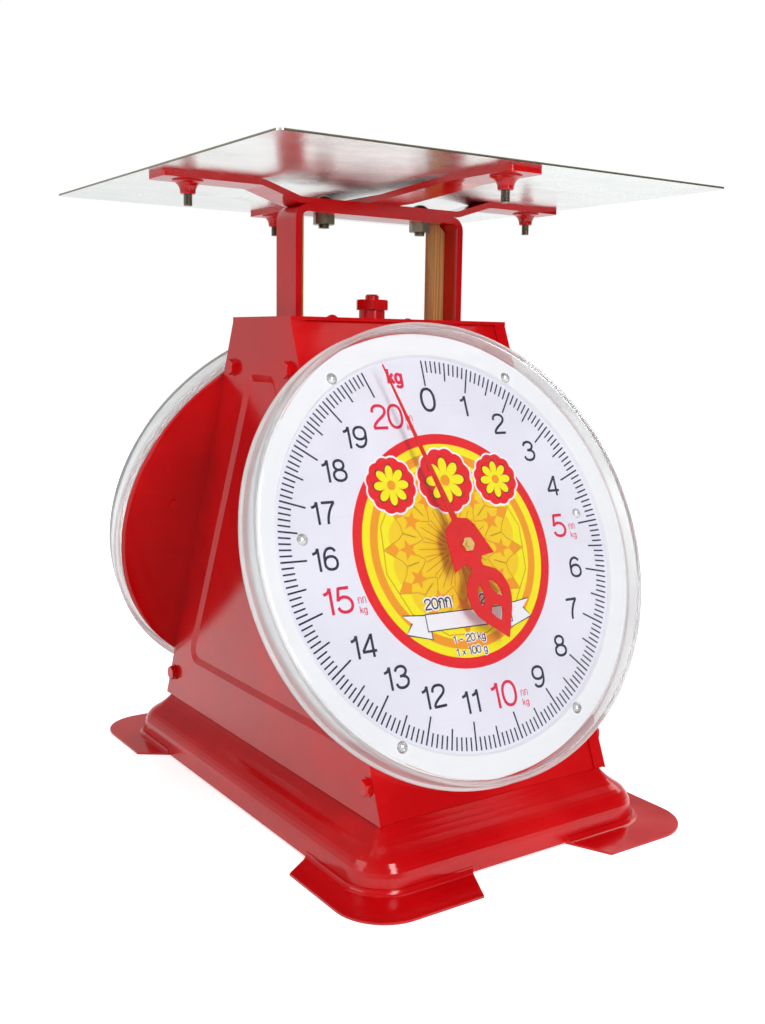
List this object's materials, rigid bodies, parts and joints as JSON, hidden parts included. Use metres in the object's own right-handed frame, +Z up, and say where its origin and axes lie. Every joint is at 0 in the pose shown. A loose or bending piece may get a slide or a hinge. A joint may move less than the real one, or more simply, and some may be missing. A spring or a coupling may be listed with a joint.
{
  "type": "dial spring scale",
  "caption": "Mechanical platform spring scale with a round dial on each side, a square sheet platter on crossed arms and a sloping painted sheet casing.",
  "frame": {"origin": "centre of the footprint on the table", "axes": "+Z up, front dial faces -Y, +X to the right of a viewer in front"},
  "size_m": [0.28, 0.34, 0.352],
  "materials": {
    "red_paint": "glossy red enamel",
    "spring_wire": "oiled spring wire",
    "dial_print": "printed satin white",
    "clear_cover": "clear moulded plastic",
    "bright_hardware": "bright zinc",
    "plain_steel": "plain steel sheet and bar",
    "brass": "turned brass",
    "platter_sheet": "bright smooth sheet",
    "dark_steel": "dark oiled steel",
    "brown_wood": "plain brown",
    "pointer_paint": "satin red"
  },
  "bodies": {
    "casing": {"base_pan": "red_paint", "base_feet": "red_paint", "base_angles": "red_paint", "side_panel_left": "red_paint", "side_panel_right": "red_paint", "front_panel": "red_paint", "rear_panel": "red_paint", "top_plate": "red_paint", "panel_screws": "red_paint", "top_rivets": "red_paint", "zero_collar": "red_paint", "spring_left": "spring_wire", "spring_right": "spring_wire", "front_back_pan": "red_paint", "rear_back_pan": "red_paint", "front_dial_plate": "dial_print", "rear_dial_plate": "dial_print", "front_cover": "clear_cover", "rear_cover": "clear_cover", "front_dial_screws": "bright_hardware", "rear_dial_screws": "bright_hardware", "front_dial_hardware": "bright_hardware", "rear_dial_hardware": "bright_hardware", "front_face_rivets": "bright_hardware", "rear_face_rivets": "bright_hardware", "front_movement_bracket": "plain_steel", "rear_movement_bracket": "plain_steel", "bracket_rivets": "bright_hardware", "shaft_bushes": "brass", "link_brackets": "plain_steel", "link_shafts": "plain_steel"},
    "platform": {"platter": "platter_sheet", "platter_studs": "dark_steel", "stud_cone_nuts": "red_paint", "cross_arm_x": "red_paint", "cross_arm_y": "red_paint", "yoke": "red_paint", "yoke_bolts": "dark_steel", "yoke_nuts": "dark_steel", "packing_strips": "brown_wood", "yoke_link_pins": "plain_steel", "spring_beam": "plain_steel", "beam_screws": "bright_hardware", "rack_carriers": "plain_steel", "front_rack": "brass", "rear_rack": "brass"},
    "front_pointer": {"front_pointer": "pointer_paint", "front_pointer_shaft": "brass", "front_pinion": "brass", "front_hub_nut": "brass"},
    "rear_pointer": {"rear_pointer": "pointer_paint", "rear_pointer_shaft": "brass", "rear_pinion": "brass", "rear_hub_nut": "brass"},
    "upper_link": {"upper_link": "plain_steel"},
    "lower_link": {"lower_link": "plain_steel"},
    "zero_nut": {"zero_nut": "red_paint"},
    "hanger": {"hanger_bolt": "red_paint", "hanger_bar": "plain_steel"}
  },
  "joints": [
    {"name": "platform_slide", "type": "slide", "parent": "casing", "child": "platform", "axis": [0, 0, -1], "range_m": [0, 0.024], "stiffness_N_per_m": 8270, "springref_m": -0.0032, "deforming": ["spring_left", "spring_right"]},
    {"name": "front_pointer_turn", "type": "hinge", "parent": "casing", "child": "front_pointer", "pos_m": [0, -0.08163, 0.1526], "axis": [0, 0.932, -0.3624], "range_deg": [0, 356.5]},
    {"name": "rear_pointer_turn", "type": "hinge", "parent": "casing", "child": "rear_pointer", "pos_m": [0, 0.08163, 0.1526], "axis": [0, -0.932, -0.3624], "range_deg": [0, 356.5]},
    {"name": "upper_link_turn", "type": "hinge", "parent": "casing", "child": "upper_link", "pos_m": [0, 0.036, 0.23], "axis": [1, 0, 0], "range_deg": [0, 36.97]},
    {"name": "lower_link_turn", "type": "hinge", "parent": "casing", "child": "lower_link", "pos_m": [0, 0.056, 0.088], "axis": [1, 0, 0], "range_deg": [0, 24.29]},
    {"name": "zero_nut_turn", "type": "hinge", "parent": "casing", "child": "zero_nut", "pos_m": [0, 0, 0.2867], "axis": [0, 0, -1], "range_deg": [-180, 180]},
    {"name": "hanger_slide", "type": "slide", "parent": "casing", "child": "hanger", "axis": [0, 0, 1], "range_m": [-0.00063, 0.00063]}
  ],
  "couplings": [
    {"joint": "front_pointer_turn", "follows": "platform_slide", "rad_per_m": 258.9},
    {"joint": "rear_pointer_turn", "follows": "platform_slide", "rad_per_m": 258.9},
    {"joint": "upper_link_turn", "follows": "platform_slide", "rad_per_m": 26.812},
    {"joint": "lower_link_turn", "follows": "platform_slide", "rad_per_m": 17.591},
    {"joint": "hanger_slide", "follows": "zero_nut_turn", "m_per_rad": 0.00019894}
  ]
}
